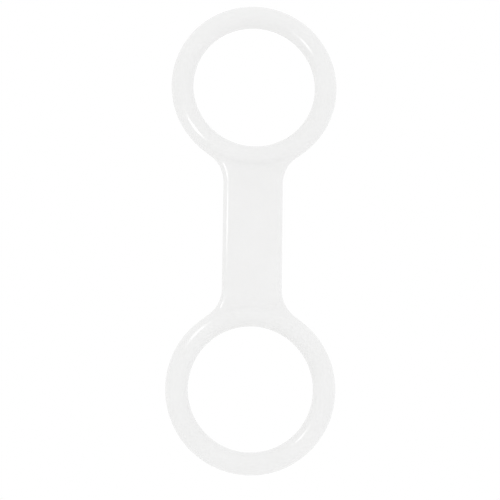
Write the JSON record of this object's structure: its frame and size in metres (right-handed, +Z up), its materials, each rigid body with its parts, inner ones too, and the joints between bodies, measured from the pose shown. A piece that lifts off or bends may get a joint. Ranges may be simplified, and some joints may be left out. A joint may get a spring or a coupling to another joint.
{
  "type": "double ring hoop holder strap",
  "caption": "Soft moulded strap with a round ring at each end. The flat strap goes round hoop tubes, and the rings go over a peg, a hook or a finger.",
  "frame": {"origin": "centre of the upper ring's eye, where the peg or hook that holds the part goes through", "axes": "+Z up along the length, +X across the width of the strap, +Y out of the back face"},
  "size_m": [0.059, 0.0078, 0.1664],
  "materials": {
    "white_rubber": "smooth satin moulded silicone rubber"
  },
  "bodies": {
    "ring_upper": {"ring_upper": "white_rubber"},
    "strap_link_01": {"strap_link_01": "white_rubber"},
    "strap_link_02": {"strap_link_02": "white_rubber"},
    "strap_link_03": {"strap_link_03": "white_rubber"},
    "strap_link_04": {"strap_link_04": "white_rubber"},
    "strap_link_05": {"strap_link_05": "white_rubber"},
    "strap_link_06": {"strap_link_06": "white_rubber"},
    "strap_link_07": {"strap_link_07": "white_rubber"},
    "strap_link_08": {"strap_link_08": "white_rubber"},
    "strap_link_09": {"strap_link_09": "white_rubber"},
    "strap_link_10": {"strap_link_10": "white_rubber"},
    "ring_lower": {"ring_lower": "white_rubber"}
  },
  "joints": [
    {"name": "strap_bend", "type": "hinge", "parent": "ring_upper", "child": "strap_link_01", "pos_m": [0, 0, -0.03487], "axis": [1, 0, 0], "range_deg": [-30, 30], "stiffness_Nm_per_rad": 0.042},
    {"name": "strap_twist", "type": "hinge", "parent": "strap_link_01", "child": "strap_link_02", "pos_m": [0, 0, -0.03864], "axis": [0, 0, 1], "range_deg": [-18, 18], "stiffness_Nm_per_rad": 0.041},
    {"name": "strap_bend_02", "type": "hinge", "parent": "strap_link_02", "child": "strap_link_03", "pos_m": [0, 0, -0.0424], "axis": [1, 0, 0], "range_deg": [-30, 30], "stiffness_Nm_per_rad": 0.042},
    {"name": "strap_twist_02", "type": "hinge", "parent": "strap_link_03", "child": "strap_link_04", "pos_m": [0, 0, -0.04617], "axis": [0, 0, 1], "range_deg": [-18, 18], "stiffness_Nm_per_rad": 0.041},
    {"name": "strap_bend_03", "type": "hinge", "parent": "strap_link_04", "child": "strap_link_05", "pos_m": [0, 0, -0.04993], "axis": [1, 0, 0], "range_deg": [-30, 30], "stiffness_Nm_per_rad": 0.042},
    {"name": "strap_twist_03", "type": "hinge", "parent": "strap_link_05", "child": "strap_link_06", "pos_m": [0, 0, -0.0537], "axis": [0, 0, 1], "range_deg": [-18, 18], "stiffness_Nm_per_rad": 0.041},
    {"name": "strap_bend_04", "type": "hinge", "parent": "strap_link_06", "child": "strap_link_07", "pos_m": [0, 0, -0.05747], "axis": [1, 0, 0], "range_deg": [-30, 30], "stiffness_Nm_per_rad": 0.042},
    {"name": "strap_twist_04", "type": "hinge", "parent": "strap_link_07", "child": "strap_link_08", "pos_m": [0, 0, -0.06123], "axis": [0, 0, 1], "range_deg": [-18, 18], "stiffness_Nm_per_rad": 0.041},
    {"name": "strap_bend_05", "type": "hinge", "parent": "strap_link_08", "child": "strap_link_09", "pos_m": [0, 0, -0.065], "axis": [1, 0, 0], "range_deg": [-30, 30], "stiffness_Nm_per_rad": 0.042},
    {"name": "strap_twist_05", "type": "hinge", "parent": "strap_link_09", "child": "strap_link_10", "pos_m": [0, 0, -0.06876], "axis": [0, 0, 1], "range_deg": [-18, 18], "stiffness_Nm_per_rad": 0.041},
    {"name": "strap_bend_06", "type": "hinge", "parent": "strap_link_10", "child": "ring_lower", "pos_m": [0, 0, -0.07253], "axis": [1, 0, 0], "range_deg": [-30, 30], "stiffness_Nm_per_rad": 0.042}
  ],
  "couplings": [
    {"joint": "strap_bend_02", "follows": "strap_bend", "ratio": 1},
    {"joint": "strap_twist_02", "follows": "strap_twist", "ratio": 1},
    {"joint": "strap_bend_03", "follows": "strap_bend", "ratio": 1},
    {"joint": "strap_twist_03", "follows": "strap_twist", "ratio": 1},
    {"joint": "strap_bend_04", "follows": "strap_bend", "ratio": 1},
    {"joint": "strap_twist_04", "follows": "strap_twist", "ratio": 1},
    {"joint": "strap_bend_05", "follows": "strap_bend", "ratio": 1},
    {"joint": "strap_twist_05", "follows": "strap_twist", "ratio": 1},
    {"joint": "strap_bend_06", "follows": "strap_bend", "ratio": 1}
  ]
}
